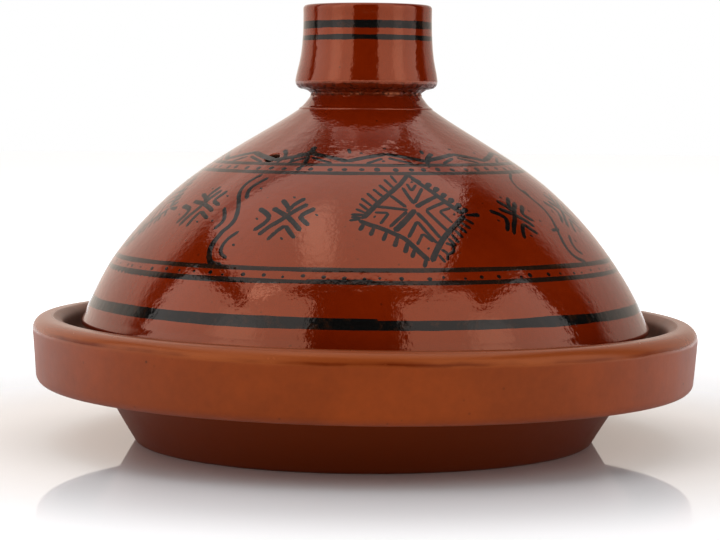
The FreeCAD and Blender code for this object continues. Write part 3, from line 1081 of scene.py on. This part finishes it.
def overheadBox(name, x, y, height, glow, soft=0.0):
    middle = Vector((sum(x) / 2, sum(y) / 2, height))
    areaLight(name, middle, Vector((0, 0.0001, 1)), x[1] - x[0], y[1] - y[0], glow, soft)


def areaLight(name, middle, facing, width, height, glow, soft):
    light = bpy.data.lights.new(name, "AREA")
    light.shape = "RECTANGLE"
    light.size = width
    light.size_y = height
    light.energy = glow * math.pi * width * height
    shadeLight(light, soft)
    lamp = addObject(name, light)
    lamp.matrix_world = Matrix.Translation(middle) @ facing.to_track_quat("Z", "Y").to_matrix().to_4x4()
    lamp.visible_camera = False


def shadeLight(light, soft):
    # dimmer towards the floor, and a soft light also fades to nothing at its edges
    light.use_nodes = True
    tree = light.node_tree
    spot = tree.nodes.new("ShaderNodeNewGeometry")
    height = node(tree, "SeparateXYZ", Vector=spot.outputs["Position"]).outputs["Z"]
    strength = stretch(tree, height, *studio["dimLow"], soft=True)
    if soft:
        across = node(tree, "SeparateXYZ", Vector=spot.outputs["Parametric"])
        for way in across.outputs[:2]:
            hump = times(tree, times(tree, way, 4.0), maths(tree, "SUBTRACT", 1.0, way))
            strength = times(tree, strength, stretch(tree, hump, 0.0, soft, soft=True))
    tree.links.new(strength, tree.nodes["Emission"].inputs["Strength"])


def setLights():
    for name, box in studio["boxes"].items():
        softbox(name, **box)
    for name, box in studio["ceilings"].items():
        overheadBox(name, **box)


def setWorld():
    # pale all round; in reflections the room in front is dim and the wall behind is bright
    world = bpy.data.worlds.new("studio")
    world.use_nodes = True
    bpy.context.scene.world = world
    tree = world.node_tree
    shade = tree.nodes["Background"]
    way = node(tree, "SeparateXYZ", Vector=tree.nodes.new("ShaderNodeTexCoord").outputs["Generated"])
    x, y, z = way.outputs
    reach = maths(tree, "MAXIMUM", *[times(tree, x, turn) for turn in studio["backWallTurn"]])
    backwards = maths(tree, "ADD", y, reach)
    behind = stretch(tree, backwards, 0.50, 0.66, studio["room"], studio["backWall"], soft=True)
    low = stretch(tree, z, *studio["backWallTop"], 0.3, 1.0, soft=True)
    behind = times(tree, behind, low)
    behind = times(tree, behind, stretch(tree, x, -0.1, 0.5, 1.0, studio["backWallRight"]))
    seen = tree.nodes.new("ShaderNodeLightPath").outputs["Is Camera Ray"]
    tree.links.new(maths(tree, "MAXIMUM", behind, seen), shade.inputs["Strength"])
    colour = blendColours(tree, seen, studio["backWallColour"], (1, 1, 1, 1))
    tree.links.new(colour, shade.inputs["Color"])


floorLook = {
    "colour": (0.865, 0.865, 0.885, 1),
    # painted bounce light: the pot's warm colour on the floor round its foot
    "paintedBounceColour": (0.80, 0.68, 0.66, 1),    # the pot's own colour thrown on the floor beside its foot
    "near": (0.112, 0.150),
    "mirror": (0.17, 0.27),            # polished by the pot, matt further out
    "mirrorRoughness": 0.03,
    "nearGlow": (0.14, 0.25, 0.16),    # from, to and how much the floor lightens
    "farGlow": (0.24, 0.62, 0.70),
}


def layFloor():
    work = bmesh.new()
    bmesh.ops.create_circle(work, cap_ends=True, segments=96, radius=studio["floorSize"] / 2)
    material, tree, shader, where = newMaterial("paleFloor")
    shader.inputs["Specular IOR Level"].default_value = 0
    shader.inputs["Coat Roughness"].default_value = floorLook["mirrorRoughness"]
    shader.inputs["Coat IOR"].default_value = 1.35
    away = node(tree, "VectorMath", settings={"operation": "LENGTH"})
    tree.links.new(where, away.inputs[0])
    radius = away.outputs["Value"]
    # the floor round the foot takes the painted bounce colour
    beside = stretch(tree, radius, *floorLook["near"], soft=True)
    colour = blendColours(tree, beside, floorLook["paintedBounceColour"], floorLook["colour"])
    place(tree, shader, "Base Color", colour)
    mirror = stretch(tree, radius, *floorLook["mirror"], 1.0, 0.0, soft=True)
    place(tree, shader, "Coat Weight", mirror)
    glows = [stretch(tree, radius, start, end, 0.0, glow, soft=True)
             for start, end, glow in (floorLook["nearGlow"], floorLook["farGlow"])]
    shader.inputs["Emission Color"].default_value = (1, 1, 1, 1)
    tree.links.new(maths(tree, "ADD", *glows), shader.inputs["Emission Strength"])
    addObject("floor", meshFrom("floor", work, material))


camera = {"place": (0, -0.996, 0.1484), "down": 4.12, "turn": 0.125, "roll": 0.4, "lens": 109.8}


def setCamera():
    data = bpy.data.cameras.new("camera")
    data.lens = camera["lens"]
    data.sensor_width = 36
    data.clip_start = 0.01
    viewer = addObject("camera", data)
    turn, down, roll = (math.radians(v) for v in (camera["turn"], 90 - camera["down"], camera["roll"]))
    viewer.matrix_world = (
        Matrix.Translation(camera["place"]) @ Matrix.Rotation(turn, 4, "Z")
        @ Matrix.Rotation(down, 4, "X") @ Matrix.Rotation(roll, 4, "Z"))
    bpy.context.scene.camera = viewer


layFloor()
setLights()
setWorld()
setCamera()
bpy.context.scene.view_settings.view_transform = "Standard"
